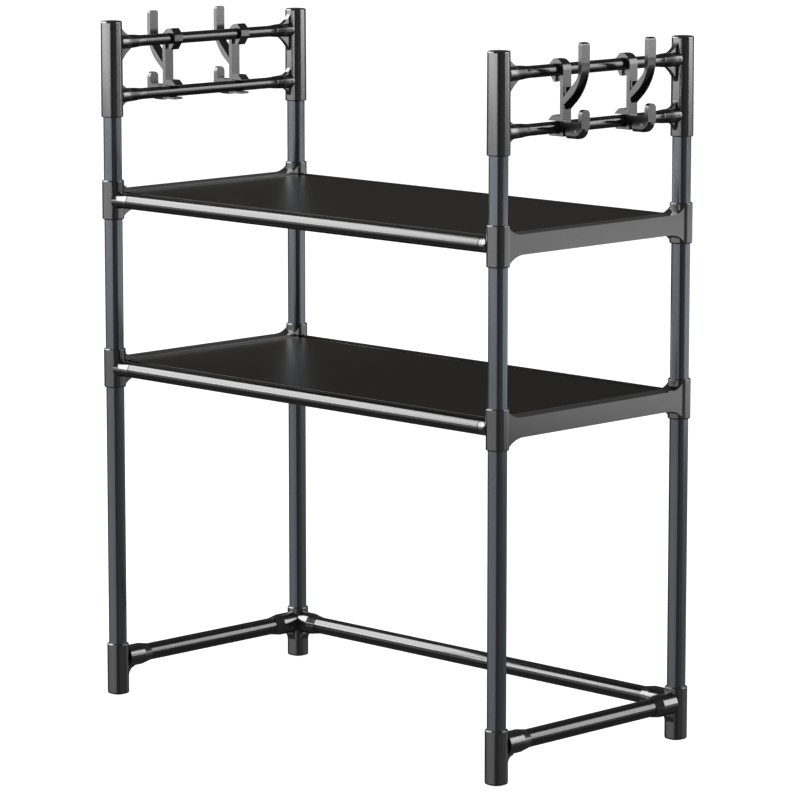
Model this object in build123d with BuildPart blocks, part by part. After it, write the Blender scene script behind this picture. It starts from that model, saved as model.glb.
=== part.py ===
from build123d import *
import os

os.makedirs("parts", exist_ok=True)

# The rack stands on the floor at z = 0, with its middle on the z axis.
# x runs along its width, y along its depth with the front at minus y.

# Post spacing, centre to centre
spacing_x = 580.0
spacing_y = 277.0

# Heights: the feet, then each level from the one below it
pad_proud = 0.6
foot_top = 57.6
base_tube_level = 40.3
lower_shelf_level = 367.0
shelf_pitch = 185.6
top_sleeve_rise = 195.1
top_sleeve_length = 104.6
high_rail_drop = 23.8
side_rail_pitch = 58.1

# Steel tubes
post_width = 18.0
post_corner = 6.75
post_wall = 1.0
base_tube_diameter = 19.0
base_tube_wall = 1.0
rail_diameter = 17.0
rail_wall = 1.0
side_rail_diameter = 12.4
side_rail_wall = 0.8

# Moulded walls, and the gaps that let a tube slide in
sleeve_wall = 2.0
fit_gap = 0.1
web_thickness = 3.0
end_gap = 0.5

# Shelf sleeves and the beam between them
shelf_sleeve_height = 43.0
shelf_sleeve_low_edge = 1.6
shelf_sleeve_top_edge = 1.3
beam_height = 20.7
beam_width = 20.0
beam_proud = 10.0
beam_wall = 2.4
beam_pockets = 6
flare_top_run = 17.0
flare_top_rise = 6.7
flare_low_run = 20.5
flare_low_drop = 7.8
flare_end_share = 0.74
ledge_width = 9.0
ledge_thickness = 2.5

# Rail stubs on the shelf sleeves: one short and one long on each moulding
short_stub = 8.9
long_stub = 18.9
stub_flare_run = 4.0
stub_flare_radius = 10.6
stub_bite = 2.8
spigot_length = 26.0
spigot_wall = 2.0
seam_bevel = 0.5

# Shelf boards, folded from sheet
board_drop = 0.6
board_sheet = 1.0
board_rim = 13.0
board_gap = 0.5
board_corner = 3.0
board_fold = 0.6
channel_width = 26.0
channel_depth = 8.0
channel_inset = 10.0
channel_count = 2

# Feet
foot_floor = 17.0
foot_top_edge = 1.5
foot_edge = 2.0
foot_core_diameter = 11.0
pad_recess = 3.4
base_socket_wall = 2.4
socket_mouth_wall = 0.5
side_socket_length = 31.0
left_socket_length = 24.6
right_socket_length = 31.0
socket_cone = 11.0
gusset_radius = 8.0
gusset_width = 12.0
socket_bite = 0.5

# Top sleeves
top_sleeve_narrowing = 0.4
top_sleeve_edge = 2.0
top_sleeve_cap = 3.0
side_stub_length = 22.0
side_stub_root_diameter = 16.5
side_stub_end_diameter = 14.2
side_bell_diameter = 13.8
side_bell_collar = 1.5
side_bell_length = 12.0
side_spigot_length = 10.0
side_spigot_narrowing = 0.8
web_width = 5.5
web_bite = 1.5

# Concave webs of the top sleeves: how far each runs along the stub and the sleeve
high_web_above = (12.4, 10.5)
high_web_below = (15.5, 16.0)
low_web_above = (10.5, 8.0)
low_web_below = (9.0, 8.5)
web_hollow = 1.0

# Hooks
hook_offset = 50.0
hook_width = 12.0
hook_rail_gap = 0.3
hook_wall = 4.5
left_hook_shift = 1.6

# Clips of a hook: walls outside the rail, and distances from the rail's axis
clip_inner_wall = 3.1
clip_shoulder_run = 6.6
clip_face_rise = 4.2
clip_face_drop = 2.4
clip_toe_wall = 5.8
clip_toe_reach = 2.3
clip_mouth_inner = 0.2
low_lip_wall = 5.8
low_lip_run = 5.8
low_lip_tip = 0.5
low_tray_wall = 2.4
low_tray_reach = 8.0

# Tongue of a hook: heights above the low side rail, and above the high one for its tip
tongue_reach = 36.0
tongue_thickness = 5.0
tongue_tip_rise = 29.1
tongue_corner = 3.0
tongue_crotch_rise = 30.8
tongue_inner_bend_rise = 52.0
tongue_inner_bend = 13.0
tongue_front_root_rise = 23.2
tongue_front_bend_rise = 44.0
tongue_front_bend = 48.0
tongue_back_root_rise = 18.7
tongue_back_bend_rise = 42.5
tongue_back_bend = 56.0
tongue_floor_root_rise = 26.7
tongue_floor_bend_rise = 48.5
tongue_floor_bend = 40.0
tongue_flange = 1.8
pocket_height = 10.0
pocket_depth = 3.0
pocket_flange = 1.2
pocket_corner = 1.5

# Cradle of a hook: a floor above the low rail, a lip on it and a keel under it
cradle_floor_rise = 6.2
cradle_floor_thickness = 5.5
cradle_lip_height = 13.2
cradle_lip_thickness = 5.1
cradle_lip_round = 5.0
cradle_reach = 36.5
cradle_keel_reach = 37.5
cradle_keel_drop = 11.3
cradle_keel_root = 14.0
cradle_keel_bend = 11.0
cradle_keel_width = 11.4
cradle_keel_edge = 4.0
cradle_pin_diameter = 2.8
cradle_pin_inset = 8.7
cradle_pin_drop = 3.2
cradle_pin_proud = 0.3

# Sizes that follow from the ones above
upper_shelf_level = lower_shelf_level + shelf_pitch
top_sleeve_top = upper_shelf_level + top_sleeve_rise
top_sleeve_bottom = top_sleeve_top - top_sleeve_length
side_rail_high_level = top_sleeve_top - high_rail_drop
side_rail_low_level = side_rail_high_level - side_rail_pitch
cradle_floor_top = side_rail_low_level + cradle_floor_rise
cradle_floor_low = cradle_floor_top - cradle_floor_thickness
post_x = spacing_x / 2
post_y = spacing_y / 2
bore_width = post_width + 2 * fit_gap
bore_corner = post_corner + fit_gap
sleeve_width = bore_width + 2 * sleeve_wall
sleeve_corner = bore_corner + sleeve_wall
face_x = post_x - sleeve_width / 2
face_y = post_y - sleeve_width / 2
rail_radius = rail_diameter / 2
beam_outer_x = post_x + beam_proud
beam_inner_x = beam_outer_x - beam_width
base_radius = base_tube_diameter / 2
side_radius = side_rail_diameter / 2


def save(part, name):
    part.label = name
    export_step(part, f"parts/{name}.step")


def lower_web_top(level):
    return level + web_thickness / 2


def make_post(bottom, top):
    """One length of hollow post between two stops, at the back right corner."""
    inside = post_width - 2 * post_wall
    with BuildPart() as post:
        with BuildSketch(Plane.XY.offset(bottom)):
            with Locations((post_x, post_y)):
                RectangleRounded(post_width, post_width, post_corner)
                RectangleRounded(inside, inside, post_corner - post_wall, mode=Mode.SUBTRACT)
        extrude(amount=top - bottom)
    return post.part


def make_post_bore(bottom, top, y):
    """The space that a post's socket takes out of a moulding."""
    with BuildPart() as bore:
        with BuildSketch(Plane.XY.offset(bottom)):
            with Locations((post_x, y)):
                RectangleRounded(bore_width, bore_width, bore_corner)
        extrude(amount=top - bottom)
    return bore.part


def make_tube(plane, length, radius, wall):
    """A round tube centred on a plane's origin, along the plane's normal."""
    with BuildPart() as tube:
        with BuildSketch(plane):
            Circle(radius)
            Circle(radius - wall, mode=Mode.SUBTRACT)
        extrude(amount=length / 2, both=True)
        rims = tube.edges().filter_by(GeomType.CIRCLE).sort_by(SortBy.LENGTH)[-2:]
        chamfer(rims, seam_bevel)
    return tube.part


def make_end_frame(level):
    """Right end frame: two sleeves, the beam between them and a stub for each rail."""
    bottom = level - shelf_sleeve_height / 2
    top = level + shelf_sleeve_height / 2
    with BuildPart() as frame:
        with BuildSketch(Plane.XY.offset(bottom)):
            with Locations((post_x, -post_y), (post_x, post_y)):
                RectangleRounded(sleeve_width, sleeve_width, sleeve_corner)
        extrude(amount=shelf_sleeve_height)
        fillet(frame.faces().sort_by(Axis.Z)[:2].edges(), shelf_sleeve_low_edge)
        fillet(frame.faces().sort_by(Axis.Z)[-2:].edges(), shelf_sleeve_top_edge)

        # Beam outline seen from the end, with its concave flares into the sleeves
        beam_top = level + beam_height / 2
        beam_low = level - beam_height / 2
        flare_end = post_y - sleeve_corner * flare_end_share
        with BuildSketch(Plane.YZ.offset(beam_inner_x)):
            with BuildLine():
                top_in = (flare_end - flare_top_run, beam_top)
                top_out = (flare_end, beam_top + flare_top_rise)
                low_in = (flare_end - flare_low_run, beam_low)
                low_out = (flare_end, beam_low - flare_low_drop)
                Line((0, beam_top), top_in)
                TangentArc(top_in, top_out, tangent=(1, 0))
                Polyline(top_out, (post_y, top_out[1]), (post_y, low_out[1]), low_out)
                TangentArc(low_in, low_out, tangent=(1, 0))
                Line(low_in, (0, beam_low))
                mirror(about=Plane.YZ)
            make_face()
        extrude(amount=beam_width)

        # Pockets from below leave a skin and cross ribs
        pocket_span = 2 * (flare_end - flare_low_run) + beam_wall
        pocket_pitch = pocket_span / beam_pockets
        with BuildSketch(Plane.XY.offset(beam_low)):
            with Locations(((beam_outer_x + beam_inner_x) / 2, 0)):
                with GridLocations(0, pocket_pitch, 1, beam_pockets):
                    Rectangle(beam_width - 2 * beam_wall, pocket_pitch - beam_wall)
        extrude(amount=beam_height - beam_wall, mode=Mode.SUBTRACT)

        # Ledge that carries the end of the shelf board
        ledge_top = level + rail_radius - board_drop - board_rim
        with BuildSketch(Plane.XY.offset(ledge_top)):
            with Locations((beam_inner_x - ledge_width / 2, 0)):
                Rectangle(ledge_width, 2 * (flare_end - flare_low_run))
        extrude(amount=-ledge_thickness)

        # Rail stubs with a flared root, and spigots that plug into the rails
        for y, seam in ((-post_y, short_stub), (post_y, long_stub)):
            spigot_radius = rail_radius - rail_wall - fit_gap
            with BuildSketch(Plane(origin=(face_x, y, level), x_dir=(-1, 0, 0), z_dir=(0, 1, 0))):
                with BuildLine():
                    root = (-stub_bite, stub_flare_radius)
                    Polyline((-stub_bite, 0), (seam + spigot_length, 0),
                             (seam + spigot_length, spigot_radius), (seam, spigot_radius),
                             (seam, rail_radius - seam_bevel), (seam - seam_bevel, rail_radius),
                             (stub_flare_run, rail_radius))
                    TangentArc((stub_flare_run, rail_radius), root, tangent=(-1, 0))
                    Line(root, (-stub_bite, 0))
                make_face()
            revolve(axis=Axis((face_x, y, level), (1, 0, 0)))
            with BuildSketch(Plane.YZ.offset(face_x - seam - spigot_length)):
                with Locations((y, level)):
                    Circle(spigot_radius - spigot_wall)
            extrude(amount=spigot_length + seam, mode=Mode.SUBTRACT)

        # Post sockets from above and below, with a stop between them
        for y in (-post_y, post_y):
            add(make_post_bore(lower_web_top(level), top + 1, y), mode=Mode.SUBTRACT)
            add(make_post_bore(bottom - 1, level - web_thickness / 2, y), mode=Mode.SUBTRACT)
    return frame.part


def make_board(level):
    """Shelf board: a sheet tray with turned-down rims and two channels under it."""
    top = level + rail_radius - board_drop
    length = 2 * (beam_inner_x - board_gap)
    depth = 2 * (face_y - board_gap)
    with BuildPart() as board:
        with BuildSketch(Plane.XY.offset(top)):
            RectangleRounded(length, depth, board_corner)
        extrude(amount=-board_rim)
        with BuildSketch(Plane.XY.offset(top - board_sheet)):
            inner_length = length - 2 * board_sheet
            inner_depth = depth - 2 * board_sheet
            RectangleRounded(inner_length, inner_depth, board_corner - board_sheet)
        extrude(amount=-board_rim, mode=Mode.SUBTRACT)
        with BuildSketch(Plane.YZ):
            with Locations((0, top - board_sheet - channel_depth / 2)):
                with GridLocations(depth / (channel_count + 1), 0, channel_count, 1):
                    Rectangle(channel_width, channel_depth)
            with Locations((0, top - board_sheet - (channel_depth - board_sheet) / 2)):
                with GridLocations(depth / (channel_count + 1), 0, channel_count, 1):
                    channel_inside = channel_width - 2 * board_sheet
                    Rectangle(channel_inside, channel_depth - board_sheet, mode=Mode.SUBTRACT)
        extrude(amount=length / 2 - channel_inset, both=True)
        fillet(board.faces().sort_by(Axis.Z)[-1].edges(), board_fold)
    return board.part


def make_base_socket(plane, length):
    """A tapered tube socket that points along a plane's x, with a gusset under it."""
    root_radius = base_radius + fit_gap + base_socket_wall
    mouth_radius = base_radius + fit_gap + socket_mouth_wall
    bite = -sleeve_wall / 2
    with BuildPart() as socket:
        with BuildSketch(plane):
            with BuildLine():
                Polyline((bite, 0), (length, 0), (length, mouth_radius),
                         (length - socket_cone, root_radius), (bite, root_radius), close=True)
            make_face()
        revolve(axis=Axis(plane.origin, plane.x_dir))
        with BuildSketch(plane):
            with BuildLine():
                start = (gusset_radius, -root_radius)
                end = (0, -root_radius - gusset_radius)
                TangentArc(start, end, tangent=(-1, 0))
                Polyline(end, (bite, end[1]), (bite, 0), (gusset_radius, 0), start)
            make_face()
        extrude(amount=gusset_width / 2, both=True)
    return socket.part


def make_socket_bore(plane, length):
    """The space that a base tube's socket takes out of a foot."""
    floor = plane.origin - plane.x_dir * socket_bite
    with BuildPart() as bore:
        with BuildSketch(Plane(origin=floor, z_dir=plane.x_dir)):
            Circle(base_radius + fit_gap)
        extrude(amount=length + socket_bite + 1)
    return bore.part


def make_foot(back_socket_length):
    """Foot at the back right corner, open at the top for the post."""
    side_plane = Plane(origin=(post_x, face_y, base_tube_level), x_dir=(0, -1, 0), z_dir=(-1, 0, 0))
    back_plane = Plane(origin=(face_x, post_y, base_tube_level), x_dir=(-1, 0, 0), z_dir=(0, 1, 0))
    sockets = [(side_plane, side_socket_length)]
    if back_socket_length:
        sockets.append((back_plane, back_socket_length))
    with BuildPart() as foot:
        with BuildSketch(Plane.XY.offset(pad_proud)):
            with Locations((post_x, post_y)):
                RectangleRounded(sleeve_width, sleeve_width, sleeve_corner)
        extrude(amount=foot_top - pad_proud)
        fillet(foot.faces().sort_by(Axis.Z)[-1].edges(), foot_top_edge)
        fillet(foot.faces().sort_by(Axis.Z)[0].edges(), foot_edge)
        for plane, length in sockets:
            add(make_base_socket(plane, length))
        add(make_post_bore(foot_floor, foot_top + 1, post_y), mode=Mode.SUBTRACT)
        for plane, length in sockets:
            add(make_socket_bore(plane, length), mode=Mode.SUBTRACT)
        with BuildSketch(Plane.XY):
            with Locations((post_x, post_y)):
                pad_bore = post_width - 2 * foot_edge + 2 * fit_gap
                RectangleRounded(pad_bore, pad_bore, post_corner - foot_edge + fit_gap)
        extrude(amount=pad_proud + pad_recess, mode=Mode.SUBTRACT)
        with BuildSketch(Plane.XY):
            with Locations((post_x, post_y)):
                Circle(foot_core_diameter / 2)
        extrude(amount=foot_floor - web_thickness, mode=Mode.SUBTRACT)
    return foot.part


def make_foot_pad():
    """Rubber pad pressed into the underside of a foot."""
    pad_width = post_width - 2 * foot_edge
    with BuildPart() as pad:
        with BuildSketch(Plane.XY):
            with Locations((post_x, post_y)):
                RectangleRounded(pad_width, pad_width, post_corner - foot_edge)
        extrude(amount=pad_proud + pad_recess)
    return pad.part


def make_web(level, run, rise, side):
    """A concave web between a side-rail stub and its sleeve, above or below the stub."""
    stub_edge = level + side * side_stub_end_diameter / 2
    start = (face_y - run, stub_edge)
    end = (face_y, stub_edge + side * rise)
    middle = (face_y - run / 2 + web_hollow, stub_edge + side * (rise / 2 - web_hollow))
    with BuildPart() as web:
        with BuildSketch(Plane.YZ.offset(post_x)):
            with BuildLine():
                ThreePointArc(start, middle, end)
                Polyline(end, (face_y + web_bite, end[1]), (face_y + web_bite, level),
                         (start[0], level), start)
            make_face()
        extrude(amount=web_width / 2, both=True)
    return web.part


def make_top_sleeve():
    """Closed sleeve at the back right corner, with a stub for each side rail."""
    top_width = sleeve_width - 2 * top_sleeve_narrowing
    with BuildPart() as sleeve:
        with BuildSketch(Plane.XY.offset(top_sleeve_bottom)):
            with Locations((post_x, post_y)):
                RectangleRounded(sleeve_width, sleeve_width, sleeve_corner)
        with BuildSketch(Plane.XY.offset(top_sleeve_top)):
            with Locations((post_x, post_y)):
                RectangleRounded(top_width, top_width, sleeve_corner - top_sleeve_narrowing)
        loft()
        fillet(sleeve.faces().sort_by(Axis.Z)[-1].edges(), top_sleeve_edge)
        fillet(sleeve.faces().sort_by(Axis.Z)[0].edges(), shelf_sleeve_top_edge)
        for level in (side_rail_low_level, side_rail_high_level):
            stub_end = side_stub_length
            spigot_root = side_bell_diameter / 2 - side_rail_wall - fit_gap
            with BuildSketch(Plane(origin=(post_x, face_y, level), x_dir=(0, -1, 0), z_dir=(1, 0, 0))):
                with BuildLine():
                    Polyline((-web_bite, 0), (stub_end + side_spigot_length, 0),
                             (stub_end + side_spigot_length, spigot_root - side_spigot_narrowing),
                             (stub_end, spigot_root), (stub_end, side_stub_end_diameter / 2),
                             (0, side_stub_root_diameter / 2), (-web_bite, side_stub_root_diameter / 2),
                             close=True)
                make_face()
            revolve(axis=Axis((post_x, face_y, level), (0, 1, 0)))
        add(make_web(side_rail_high_level, *high_web_above, 1))
        add(make_web(side_rail_high_level, *high_web_below, -1))
        add(make_web(side_rail_low_level, *low_web_above, 1))
        add(make_web(side_rail_low_level, *low_web_below, -1))
        bore_top = top_sleeve_top - top_sleeve_cap
        add(make_post_bore(top_sleeve_bottom - 1, bore_top, post_y), mode=Mode.SUBTRACT)
    return sleeve.part


def make_side_rail(level):
    """Right side rail: a tube whose two ends are belled over the sleeves' spigots."""
    seam = face_y - side_stub_length
    collar = seam - side_bell_collar
    bell_start = seam - side_bell_length
    bell_radius = side_bell_diameter / 2
    with BuildPart() as rail:
        with BuildSketch(Plane(origin=(post_x, 0, level), x_dir=(0, 1, 0), z_dir=(-1, 0, 0))):
            with BuildLine():
                Line((0, side_radius), (bell_start, side_radius))
                TangentArc((bell_start, side_radius), (collar, bell_radius), tangent=(1, 0))
                Polyline((collar, bell_radius), (seam, bell_radius), (seam, bell_radius - side_rail_wall),
                         (collar, bell_radius - side_rail_wall))
                TangentArc((bell_start, side_radius - side_rail_wall),
                           (collar, bell_radius - side_rail_wall), tangent=(1, 0))
                Polyline((bell_start, side_radius - side_rail_wall), (0, side_radius - side_rail_wall),
                         (0, side_radius))
            make_face()
        revolve(axis=Axis((post_x, 0, level), (0, 1, 0)))
        mirror(about=Plane.XZ)
    return rail.part


def make_tongue_layer(y, width, root_rise, bend_rise, bend_radius):
    """One layer of a hook's tongue, from its inner face out to a line that bends once."""
    bar_outer = post_x + side_radius + hook_rail_gap + hook_wall
    bar_middle = bar_outer - hook_wall / 2
    outer = post_x + tongue_reach
    inner = outer - tongue_thickness
    tip = side_rail_high_level + tongue_tip_rise
    crotch = side_rail_low_level + tongue_crotch_rise
    inner_bend = (inner, side_rail_low_level + tongue_inner_bend_rise)
    outer_bend = (outer, side_rail_low_level + bend_rise)
    root = side_rail_low_level + root_rise
    with BuildPart() as layer:
        with BuildSketch(Plane.XZ.offset(-y)) as outline:
            with BuildLine():
                Polyline((bar_middle, root), (bar_outer, root), outer_bend, (outer, tip), (inner, tip),
                         inner_bend, (bar_outer, crotch), (bar_middle, crotch), close=True)
            make_face()
            fillet(outline.vertices().sort_by_distance(inner_bend)[0], tongue_inner_bend)
            fillet(outline.vertices().sort_by_distance(outer_bend)[0], bend_radius)
        extrude(amount=width / 2, both=True)
    return layer.part


def make_cradle(y):
    """Floor that reaches out from a hook's bar, with an upturned lip."""
    bar_middle = post_x + side_radius + hook_rail_gap + hook_wall / 2
    lip_outer = post_x + cradle_reach
    lip_inner = lip_outer - cradle_lip_thickness
    lip_top = cradle_floor_top + cradle_lip_height
    with BuildPart() as cradle:
        with BuildSketch(Plane.XZ.offset(-y)):
            with BuildLine():
                Polyline((bar_middle, cradle_floor_low), (lip_outer, cradle_floor_low),
                         (lip_outer, lip_top), (lip_inner, lip_top), (lip_inner, cradle_floor_top),
                         (bar_middle, cradle_floor_top), close=True)
            make_face()
        extrude(amount=hook_width / 2, both=True)
        fillet(cradle.edges().filter_by(Axis.X).group_by(Axis.Z)[-1], cradle_lip_round)
    return cradle.part


def make_keel(y):
    """Keel under a hook's cradle, round underneath like a small hull."""
    outer = post_x + cradle_keel_reach
    root = post_x + cradle_keel_root
    keel_low = cradle_floor_low - cradle_keel_drop
    with BuildPart() as keel:
        with BuildSketch(Plane.XZ.offset(-y)):
            with BuildLine():
                bend = (outer - cradle_keel_bend, keel_low)
                Polyline((outer, cradle_floor_low), (root, cradle_floor_low), (root, keel_low), bend)
                TangentArc(bend, (outer, cradle_floor_low), tangent=(1, 0))
            make_face()
        extrude(amount=cradle_keel_width / 2, both=True)
        under_edges = keel.edges().filter_by(Axis.X).group_by(Axis.Z)[0]
        curved_edges = keel.edges().filter_by(GeomType.CIRCLE)
        fillet(under_edges + curved_edges, cradle_keel_edge)
    return keel.part


def make_pin(y, diameter, width):
    """A pin across a hook's keel, or the hole for one."""
    with BuildPart() as pin:
        with BuildSketch(Plane.XZ.offset(-y)):
            pin_x = post_x + cradle_reach - cradle_pin_inset
            with Locations((pin_x, cradle_floor_low - cradle_pin_drop)):
                Circle(diameter / 2)
        extrude(amount=width / 2, both=True)
    return pin.part


def make_cradle_pin(y):
    """Steel pin pressed through a hook's keel."""
    return make_pin(y, cradle_pin_diameter, cradle_keel_width + 2 * cradle_pin_proud)


def make_clips(y):
    """Bar of a hook with its two clips: a claw over the high rail, two lips round the low one."""
    ring_inner = side_radius + hook_rail_gap
    ring_outer = ring_inner + hook_wall
    bar_outer = post_x + ring_outer
    bar_middle = bar_outer - hook_wall / 2
    clip_inner = post_x - ring_inner - clip_inner_wall
    toe_low = side_rail_high_level - ring_inner - clip_toe_wall
    lip_top = side_rail_low_level + ring_inner + low_lip_wall
    lip_low = side_rail_low_level + ring_inner
    tray_top = side_rail_low_level - ring_inner
    tray_low = tray_top - low_tray_wall
    bar_height = side_rail_high_level - tray_low
    with BuildPart() as clips:
        with BuildSketch(Plane.XZ.offset(-y)):
            # Round back of the high clip, then its flat-sided claw, open below the rail
            with Locations((post_x, side_rail_high_level)):
                Circle(ring_outer)
            with Locations((post_x - ring_outer, side_rail_high_level)):
                Rectangle(2 * ring_outer, 2 * ring_outer, mode=Mode.SUBTRACT)
            with BuildLine():
                Polyline((post_x, side_rail_high_level + ring_outer),
                         (clip_inner + clip_shoulder_run, side_rail_high_level + ring_outer),
                         (clip_inner, side_rail_high_level + clip_face_rise),
                         (clip_inner, side_rail_high_level - clip_face_drop),
                         (post_x - clip_toe_reach, toe_low), (post_x, toe_low), close=True)
            make_face()
            mouth = ring_inner - clip_mouth_inner
            with Locations((post_x + clip_mouth_inner + mouth / 2, side_rail_high_level - ring_outer)):
                Rectangle(mouth, 2 * ring_outer, mode=Mode.SUBTRACT)

            # Bar, then the sloping lip over the low rail and the flat one under it
            with Locations((bar_middle, side_rail_high_level - bar_height / 2)):
                Rectangle(hook_wall, bar_height)
            with BuildLine():
                Polyline((bar_middle, lip_top), (clip_inner + low_lip_run, lip_top),
                         (clip_inner, lip_low + low_lip_tip), (clip_inner, lip_low),
                         (bar_middle, lip_low), close=True)
            make_face()
            with BuildLine():
                Polyline((bar_middle, tray_top), (post_x - low_tray_reach, tray_top),
                         (post_x - low_tray_reach, tray_low), (bar_middle, tray_low), close=True)
            make_face()
            with Locations((post_x, side_rail_high_level)):
                Circle(ring_inner, mode=Mode.SUBTRACT)
        extrude(amount=hook_width / 2, both=True)
    return clips.part


def make_hook(y):
    """Right-hand hook: two clips for the side rails, a tall tongue and a low cradle."""
    ring_inner = side_radius + hook_rail_gap
    bar_outer = post_x + ring_inner + hook_wall
    with BuildPart() as hook:
        add(make_clips(y))

        # Tongue: a web as wide as the hook, with a flange down each side of its outer face
        flange_y = (hook_width - tongue_flange) / 2
        add(make_tongue_layer(y, hook_width, tongue_floor_root_rise, tongue_floor_bend_rise,
                              tongue_floor_bend))
        add(make_tongue_layer(y - flange_y, tongue_flange, tongue_front_root_rise,
                              tongue_front_bend_rise, tongue_front_bend))
        add(make_tongue_layer(y + flange_y, tongue_flange, tongue_back_root_rise,
                              tongue_back_bend_rise, tongue_back_bend))
        tip_edges = hook.faces().sort_by(Axis.Z)[-1].edges()
        outer_tip_edge = tip_edges.filter_by(Axis.Y).sort_by(Axis.X)[-1]
        fillet(tip_edges.filter_by(Axis.X) + [outer_tip_edge], tongue_corner)

        # Pockets in the bar above and below the tongue's root
        crotch = side_rail_low_level + tongue_crotch_rise
        back_root = side_rail_low_level + tongue_back_root_rise
        floor_root = side_rail_low_level + tongue_floor_root_rise
        for low, high, flange in ((crotch, crotch + pocket_height, pocket_flange),
                                  (back_root, floor_root, tongue_flange)):
            with BuildSketch(Plane.YZ.offset(bar_outer)):
                with Locations((y, (low + high) / 2)):
                    RectangleRounded(hook_width - 2 * flange, high - low, pocket_corner)
            extrude(amount=-pocket_depth, mode=Mode.SUBTRACT)

        # Cradle and the keel under it, with its pin's hole, and the low rail's bore
        add(make_cradle(y))
        add(make_keel(y))
        add(make_pin(y, cradle_pin_diameter + 2 * fit_gap, 2 * hook_width), mode=Mode.SUBTRACT)
        with BuildSketch(Plane.XZ.offset(-y)):
            with Locations((post_x, side_rail_low_level)):
                Circle(ring_inner)
        extrude(amount=hook_width, both=True, mode=Mode.SUBTRACT)
    return hook.part


# Pieces that stand at the four corners
corners = {
    "back_right": (),
    "back_left": (Plane.YZ,),
    "front_right": (Plane.XZ,),
    "front_left": (Plane.YZ, Plane.XZ),
}
post_runs = {
    "lower_post": (foot_floor, lower_shelf_level - web_thickness / 2),
    "middle_post": (lower_web_top(lower_shelf_level), upper_shelf_level - web_thickness / 2),
    "upper_post": (lower_web_top(upper_shelf_level), top_sleeve_top - top_sleeve_cap),
}
corner_pieces = {name: make_post(*run) for name, run in post_runs.items()}
corner_pieces["top_sleeve"] = make_top_sleeve()
corner_pieces["foot_pad"] = make_foot_pad()
feet = {
    "back_right": make_foot(right_socket_length),
    "back_left": make_foot(left_socket_length),
    "front_right": make_foot(0),
    "front_left": make_foot(0),
}
for corner, planes in corners.items():
    for name, piece in dict(corner_pieces, foot=feet[corner]).items():
        for plane in planes:
            piece = mirror(piece, about=plane)
        save(piece, f"{name}_{corner}")

# Base tubes at the back and the two sides
tube_end = socket_bite - end_gap
back_length = 2 * (face_x + tube_end)
side_length = 2 * (face_y + tube_end)
back_plane = Plane(origin=(0, post_y, base_tube_level), z_dir=(1, 0, 0))
save(make_tube(back_plane, back_length, base_radius, base_tube_wall), "base_tube_back")
for side, x in (("left", -post_x), ("right", post_x)):
    side_plane = Plane(origin=(x, 0, base_tube_level), z_dir=(0, 1, 0))
    save(make_tube(side_plane, side_length, base_radius, base_tube_wall), f"base_tube_{side}")

# Shelves: the left end frame is the right one turned half round
rail_length = 2 * face_x - short_stub - long_stub
rail_shift = (long_stub - short_stub) / 2
for shelf, level in (("lower", lower_shelf_level), ("upper", upper_shelf_level)):
    end_frame = make_end_frame(level)
    save(end_frame.rotate(Axis.Z, 180), f"{shelf}_end_frame_left")
    save(make_end_frame(level), f"{shelf}_end_frame_right")
    save(make_board(level), f"{shelf}_shelf_board")
    for side, sign in (("front", -1), ("back", 1)):
        rail_plane = Plane(origin=(-sign * rail_shift, sign * post_y, level), z_dir=(1, 0, 0))
        save(make_tube(rail_plane, rail_length, rail_radius, rail_wall), f"{shelf}_rail_{side}")

# Side rails and the hooks that slide on them
for rank, level in (("lower", side_rail_low_level), ("upper", side_rail_high_level)):
    save(make_side_rail(level), f"side_rail_{rank}_right")
    save(mirror(make_side_rail(level), about=Plane.YZ), f"side_rail_{rank}_left")
for row, y in (("front", -hook_offset), ("back", hook_offset)):
    for name, make in (("hook", make_hook), ("cradle_pin", make_cradle_pin)):
        save(make(y), f"{name}_right_{row}")
        save(mirror(make(y + left_hook_shift), about=Plane.YZ), f"{name}_left_{row}")
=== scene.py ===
import math

import bmesh
import bpy
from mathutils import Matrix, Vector


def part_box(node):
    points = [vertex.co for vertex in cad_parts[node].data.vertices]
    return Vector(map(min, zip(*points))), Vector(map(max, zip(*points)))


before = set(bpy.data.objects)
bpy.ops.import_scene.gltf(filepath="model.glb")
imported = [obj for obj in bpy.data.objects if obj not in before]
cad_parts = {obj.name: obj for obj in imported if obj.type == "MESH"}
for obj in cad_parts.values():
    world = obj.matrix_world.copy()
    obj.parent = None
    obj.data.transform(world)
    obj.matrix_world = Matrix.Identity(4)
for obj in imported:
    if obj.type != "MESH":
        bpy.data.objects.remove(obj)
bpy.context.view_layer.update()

# Feet. Four closed mouldings in dark grey plastic with fine metal flakes stand on the floor.
# Each takes a post from above and one or two base tubes from the side, pushed into sockets
# that taper towards the tube.


class Wire:
    """A socket of a node, on which arithmetic adds Math nodes."""

    def __init__(self, nodes, socket):
        self.nodes = nodes
        self.socket = socket

    def _math(self, operation, first, second):
        settings = {"operation": operation}
        return self.nodes.node("ShaderNodeMath", settings, {0: first, 1: second})

    def __add__(self, other):
        return self._math("ADD", self, other)

    def __radd__(self, other):
        return self._math("ADD", other, self)

    def __sub__(self, other):
        return self._math("SUBTRACT", self, other)

    def __rsub__(self, other):
        return self._math("SUBTRACT", other, self)

    def __mul__(self, other):
        return self._math("MULTIPLY", self, other)

    def __rmul__(self, other):
        return self._math("MULTIPLY", other, self)

    def __abs__(self):
        return self.nodes.node("ShaderNodeMath", {"operation": "ABSOLUTE"}, {0: self})

    def above(self, edge, softness):
        """0 below an edge value and 1 above it, with a soft step between."""
        settings = {"interpolation_type": "SMOOTHSTEP"}
        values = {"Value": self, "From Min": edge - softness, "From Max": edge + softness}
        return self.nodes.node("ShaderNodeMapRange", settings, values)


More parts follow.
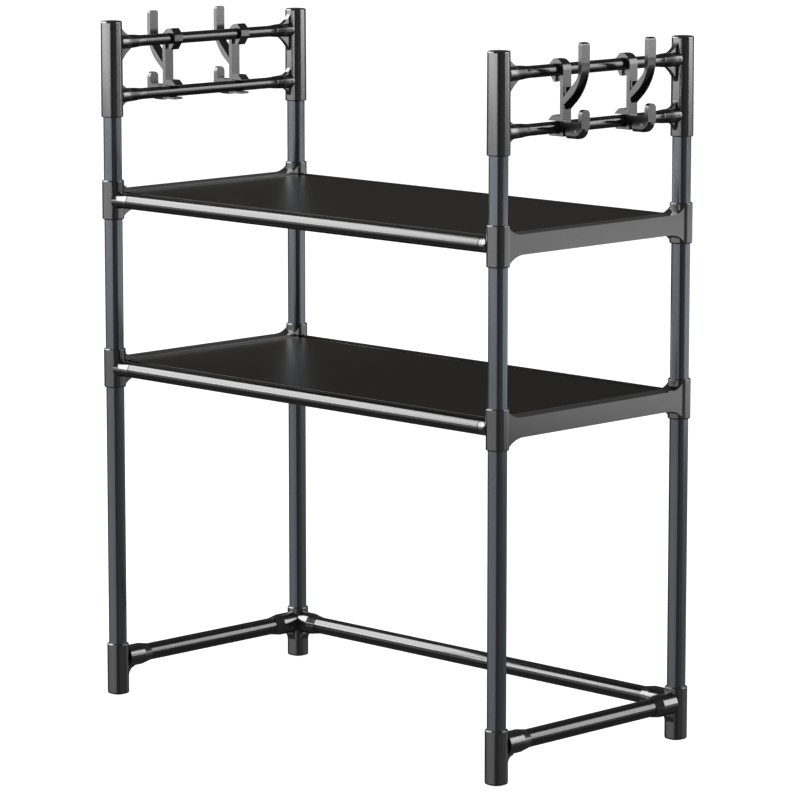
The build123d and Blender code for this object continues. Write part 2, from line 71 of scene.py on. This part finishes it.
class Nodes:
    """The nodes of a material or of the world while they are written."""

    def __init__(self, owner):
        owner.use_nodes = True
        self.tree = owner.node_tree
        self.tree.nodes.clear()

    def node(self, kind, settings=None, values=None, output=0):
        """Adds a node: its settings first, then the values or links of its sockets."""
        made = self.tree.nodes.new(kind)
        for name, setting in (settings or {}).items():
            setattr(made, name, setting)
        for name, value in (values or {}).items():
            if isinstance(value, Wire):
                self.tree.links.new(value.socket, made.inputs[name])
            else:
                made.inputs[name].default_value = value
        return Wire(self, made.outputs[output]) if made.outputs else None


class Finish(Nodes):
    """A finish of the rack, laid out in metres over the object."""

    def __init__(self, name):
        self.material = bpy.data.materials.new(name)
        super().__init__(self.material)
        self.place = self.node("ShaderNodeTexCoord", output="Object")

    def noise(self, grain, detail):
        """Noise with one grain to so many metres."""
        values = {"Vector": self.place, "Scale": 1 / grain, "Detail": detail}
        return self.node("ShaderNodeTexNoise", None, values, "Fac")

    def mix(self, amount, first, second):
        """A colour between two others. Sockets 6 and 7 take them, and socket 2 gives it."""
        values = {0: amount, 6: first, 7: second}
        return self.node("ShaderNodeMix", {"data_type": "RGBA"}, values, 2)

    def surface(self, colour, roughness, height, depth, **constants):
        """Closes the finish, with a relief of so many metres. Returns the material."""
        relief = {"Height": height, "Strength": 1.0, "Distance": depth}
        values = {"Base Color": colour, "Roughness": roughness,
                  "Normal": self.node("ShaderNodeBump", None, relief)}
        values.update(constants)
        shader = self.node("ShaderNodeBsdfPrincipled", None, values)
        self.node("ShaderNodeOutputMaterial", None, {"Surface": shader})
        return self.material


flake_share = 0.92


def moulded_plastic(name, dark, light, sheen, bare_part=None):
    """Satin plastic with metal flakes, a spark-eroded skin and faint flow clouds.

    Where bare_part gives 1, the flakes have sunk in and the plastic is black.
    """
    finish = Finish(name)
    clouds = finish.noise(grain=0.03, detail=3.0)
    skin = finish.noise(grain=0.0016, detail=1.0)
    colour = finish.mix(clouds * 0.8 + skin * 0.2, dark, light)
    roughness = sheen + clouds * 0.015 + skin * 0.005
    flakes = flake_share
    if bare_part:
        bare = bare_part(finish)
        colour = finish.mix(bare, colour, (0.012, 0.012, 0.012, 1))
        flakes = (1 - bare) * flake_share
    return finish.surface(colour, roughness, skin, 0.0000012, IOR=1.5, Metallic=flakes)


def dress(node, material):
    """Gives a node of the frame its finish, smooth between its sharp edges."""
    sharp_from = math.radians(32)
    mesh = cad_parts[node].data
    mesh.materials.clear()
    mesh.materials.append(material)
    mesh.shade_smooth()
    mesh.set_sharp_from_angle(angle=sharp_from)


corners = ("front_left", "front_right", "back_left", "back_right")
plastic_dark = (0.156, 0.156, 0.158, 1)
plastic_light = (0.176, 0.176, 0.178, 1)
plastic_sheen = 0.155
connector = moulded_plastic("connector_plastic", plastic_dark, plastic_light, plastic_sheen)
for corner in corners:
    dress(f"foot_{corner}", connector)

# Foot pads. A black rubber disc is pressed into the underside of each foot, so that the rack
# doesn't slip on the worktop. It has a dull, slightly grainy skin.

pad = Finish("pad_rubber")
pad_skin = pad.noise(grain=0.001, detail=2.0)
pad_rubber = pad.surface((0.012, 0.012, 0.012, 1), 0.8, pad_skin, 0.00005)
for corner in corners:
    dress(f"foot_pad_{corner}", pad_rubber)

# Base tubes. Three lengths of round steel tube close the base at the back and the sides, in
# black powder coat with a satin shine. Their ends sit in the sockets of the feet.


def tube_paint(name, dark, light, sheen, metal=0.0):
    """Powder coat on a tube: low orange peel, and a haze in its shine."""
    finish = Finish(name)
    peel = finish.noise(grain=0.0016, detail=2.0)
    haze = finish.noise(grain=0.05, detail=2.0)
    colour = finish.mix(haze, dark, light)
    roughness = sheen + haze * 0.04
    return finish.surface(colour, roughness, peel, 0.000004, IOR=1.85, Metallic=metal)


black_dark = (0.009, 0.009, 0.009, 1)
black_light = (0.012, 0.012, 0.012, 1)
rail_paint = tube_paint("rail_paint", black_dark, black_light, sheen=0.14)
for side in ("back", "left", "right"):
    dress(f"base_tube_{side}", rail_paint)

# Posts. Each corner has three lengths of rounded-square steel tube, in a blue-grey powder
# coat with metal flakes. They meet inside the sleeves, each against a stop.

post_dark = (0.140, 0.154, 0.174, 1)
post_light = (0.156, 0.171, 0.193, 1)
post_paint = tube_paint("post_paint", post_dark, post_light, sheen=0.15, metal=0.85)
for corner in corners:
    for level in ("lower", "middle", "upper"):
        dress(f"{level}_post_{corner}", post_paint)

# End frames. At each end of a shelf one moulding, in the plastic of the feet, holds the front
# and the back post in two sleeves. The beam between them carries the end of the board.

shelves = ("lower", "upper")
sides = ("left", "right")
for shelf in shelves:
    for side in sides:
        dress(f"{shelf}_end_frame_{side}", connector)

# Shelf rails. A round steel tube runs along the front and the back of each shelf, in the black
# coat of the base tubes, pushed on to the spigots of the end frames.

rows = ("front", "back")
for shelf in shelves:
    for row in rows:
        dress(f"{shelf}_rail_{row}", rail_paint)

# Shelf boards. Each is one sheet of steel, folded down on all four sides, with a fine-textured
# powder coat in a slightly warm, dull black. It lies on the ledges of the end frames.

board_dark = (0.0124, 0.0098, 0.0066, 1)
board_light = (0.0152, 0.0123, 0.0086, 1)
board_sheen = 0.34
board = Finish("board_paint")
board_texture = board.noise(grain=0.0005, detail=3.0)
board_haze = board.noise(grain=0.12, detail=2.0)
board_colour = board.mix(board_haze, board_dark, board_light)
board_roughness = board_sheen + board_haze * 0.05
board_paint = board.surface(board_colour, board_roughness, board_texture, 0.000008, IOR=1.35)
for shelf in shelves:
    dress(f"{shelf}_shelf_board", board_paint)

# Top sleeves. A sleeve closed at the top caps each post, in the plastic of the feet. It holds
# the ends of two side rails on round stubs between thin webs. The stubs come out of the mould
# black, without flakes at their skin.


def rail_stubs(finish):
    """1 on the round stubs that carry the side rails, and 0 elsewhere."""
    across, along, up = (
        finish.node("ShaderNodeSeparateXYZ", None, {"Vector": finish.place}, axis)
        for axis in "XYZ")
    stub_rise = 0.0008
    sleeve_wall = 0.0030
    edge_softness = 0.0003
    stubs = 0.0
    for rank in shelves:
        low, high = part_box(f"side_rail_{rank}_right")
        axis_x, axis_z = (low[0] + high[0]) / 2, (low[2] + high[2]) / 2
        stub_radius = (high[2] - low[2]) / 2 + stub_rise
        run_x, run_z = abs(across) - axis_x, up - axis_z
        from_axis = run_x * run_x + run_z * run_z
        stubs = stubs + (1 - from_axis.above(stub_radius ** 2, 0.000004))
    sleeve_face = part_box("upper_post_back_right")[0][1] - sleeve_wall
    return stubs * (1 - abs(along).above(sleeve_face, edge_softness))


sleeve_plastic = moulded_plastic("sleeve_plastic", plastic_dark, plastic_light, plastic_sheen,
                                 rail_stubs)
for corner in corners:
    dress(f"top_sleeve_{corner}", sleeve_plastic)

# Side rails. At each end of the rack two thin steel tubes, one above the other, run from the
# front to the back sleeve. Their ends are belled over the stubs, in the same black coat.

for rank in shelves:
    for side in sides:
        dress(f"side_rail_{rank}_{side}", rail_paint)

# Hooks. Each is moulded in one piece, in a duller plastic than the feet. A claw clips over the
# high side rail and two lips hold the low one, so that the hook slides along both.

hook_dark = (0.122, 0.122, 0.124, 1)
hook_light = (0.142, 0.142, 0.144, 1)
hook_plastic = moulded_plastic("hook_plastic", hook_dark, hook_light, sheen=0.20)
for side in sides:
    for row in rows:
        dress(f"hook_{side}_{row}", hook_plastic)

# Cradle pins. A bright steel pin is pressed through the low cradle of each hook, and its turned
# end shows on the moulding's side.

pin_dark = (0.42, 0.42, 0.42, 1)
pin_light = (0.50, 0.50, 0.50, 1)
pin_steel = tube_paint("pin_steel", pin_dark, pin_light, sheen=0.28, metal=1.0)
for side in sides:
    for row in rows:
        dress(f"cradle_pin_{side}_{row}", pin_steel)

# Floor and backdrop. The rack stands on pale paper that runs white into the background and
# keeps the rack's shadow. Glossy rays pass through it to the low lamps, which give the posts
# their pale bands.

floor_size = 60.0
floor_mesh = bpy.data.meshes.new("floor")
floor_bm = bmesh.new()
bmesh.ops.create_grid(floor_bm, x_segments=1, y_segments=1, size=floor_size / 2)
floor_bm.to_mesh(floor_mesh)
floor_bm.free()
floor = bpy.data.objects.new("floor", floor_mesh)
bpy.context.scene.collection.objects.link(floor)

floor_glow = 0.97
floor_seen = (0.30, 0.30, 0.30, 1)
floor_unseen = (0.20, 0.20, 0.20, 1)
white = (1, 1, 1, 1)
floor_white = bpy.data.materials.new("floor_white")
paper = Nodes(floor_white)
eye = paper.node("ShaderNodeLightPath", output="Is Camera Ray")
gleam = paper.node("ShaderNodeLightPath", output="Is Glossy Ray")
glow = paper.node("ShaderNodeEmission", None, {"Color": white, "Strength": floor_glow})
lit = paper.node("ShaderNodeBsdfDiffuse", None, {"Color": floor_seen})
seen = paper.node("ShaderNodeAddShader", None, {0: glow, 1: lit})
dull = paper.node("ShaderNodeBsdfDiffuse", None, {"Color": floor_unseen})
clear = paper.node("ShaderNodeBsdfTransparent")
unseen = paper.node("ShaderNodeMixShader", None, {0: gleam, 1: dull, 2: clear})
face = paper.node("ShaderNodeMixShader", None, {0: eye, 1: unseen, 2: seen})
paper.node("ShaderNodeOutputMaterial", None, {"Surface": face})
floor_mesh.materials.append(floor_white)

# Air. The room is white to the camera. Its even light is soft, and what shines shows a dark
# room between the lamps, as the photographed faces do.

sky_level = 0.55
reflected_level = 0.07
world = bpy.data.worlds.new("studio")
bpy.context.scene.world = world
air = Nodes(world)
sky, reflected, background = (
    air.node("ShaderNodeBackground", None, {"Color": white, "Strength": level})
    for level in (sky_level, reflected_level, 1.0))
shone = air.node("ShaderNodeMath", {"operation": "MAXIMUM"}, {
    0: air.node("ShaderNodeLightPath", output="Is Glossy Ray"),
    1: air.node("ShaderNodeLightPath", output="Is Transmission Ray")})
around = air.node("ShaderNodeMixShader", None, {0: shone, 1: sky, 2: reflected})
looked = air.node("ShaderNodeLightPath", output="Is Camera Ray")
room = air.node("ShaderNodeMixShader", None, {0: looked, 1: around, 2: background})
air.node("ShaderNodeOutputWorld", None, {"Surface": room})

# Lamps. Rectangular soft lamps stand where the bands in the photographed tubes say. A high
# panel on the left gives the rails and boards their shine and a tall one behind lights the
# back, while low strips on both sides draw the bands in the posts, sleeves and beams.


def softbox(name, place, aim, width, height, watts):
    """A rectangular lamp that faces a point and is left out of the picture."""
    lamp = bpy.data.lights.new(name, "AREA")
    lamp.shape = "RECTANGLE"
    lamp.size = width
    lamp.size_y = height
    lamp.energy = watts
    light = bpy.data.objects.new(name, lamp)
    light.location = place
    light.rotation_euler = (Vector(aim) - Vector(place)).to_track_quat("-Z", "Y").to_euler()
    light.visible_camera = False
    bpy.context.scene.collection.objects.link(light)


softbox("key", (-4.00, -2.25, 2.82), (0.0, -2.25, 2.82), width=4.70, height=4.04, watts=345)
softbox("rear", (3.30, 4.00, 1.95), (3.30, 0.0, 1.95), width=2.15, height=3.30, watts=80)
softbox("left_far", (-2.00, -5.67, -0.75), (0.0, 0.0, -0.75), width=12.4, height=2.10, watts=44)
softbox("left_near", (-0.72, -2.08, 0.27), (0.0, 0.0, 0.27), width=4.56, height=0.30, watts=1.7)
softbox("left_band", (-0.72, -2.08, 0.65), (0.0, 0.0, 0.65), width=4.56, height=0.29, watts=11.5)
softbox("right_far", (2.16, 5.60, -0.75), (0.0, 0.0, -0.75), width=5.60, height=2.10, watts=9)
softbox("right_near", (1.14, 1.88, 0.18), (0.0, 0.0, 0.18), width=1.96, height=0.36, watts=1.8)
softbox("front_right", (5.87, 1.23, -0.75), (0.0, 0.0, -0.75), width=6.10, height=2.10, watts=3.0)

# Camera. Its place and lens were fitted to the posts, sleeves and tubes in the photograph. It
# looks down a little on the front and the right end.

camera_azimuth = math.radians(44.815)
camera_elevation = math.radians(9.201)
camera_distance = 4.5904
camera_aim = Vector((0.01417, 0.0, 0.34943))
towards_camera = Vector((math.sin(camera_azimuth) * math.cos(camera_elevation),
                         -math.cos(camera_azimuth) * math.cos(camera_elevation),
                         math.sin(camera_elevation)))
lens = bpy.data.cameras.new("camera")
lens.sensor_width = 36.0
lens.lens = 192.39
lens.clip_end = 100.0
camera = bpy.data.objects.new("camera", lens)
camera.location = camera_aim + towards_camera * camera_distance
camera.rotation_euler = (-towards_camera).to_track_quat("-Z", "Y").to_euler()
bpy.context.scene.collection.objects.link(camera)
bpy.context.scene.camera = camera
bpy.context.scene.view_settings.view_transform = "Standard"
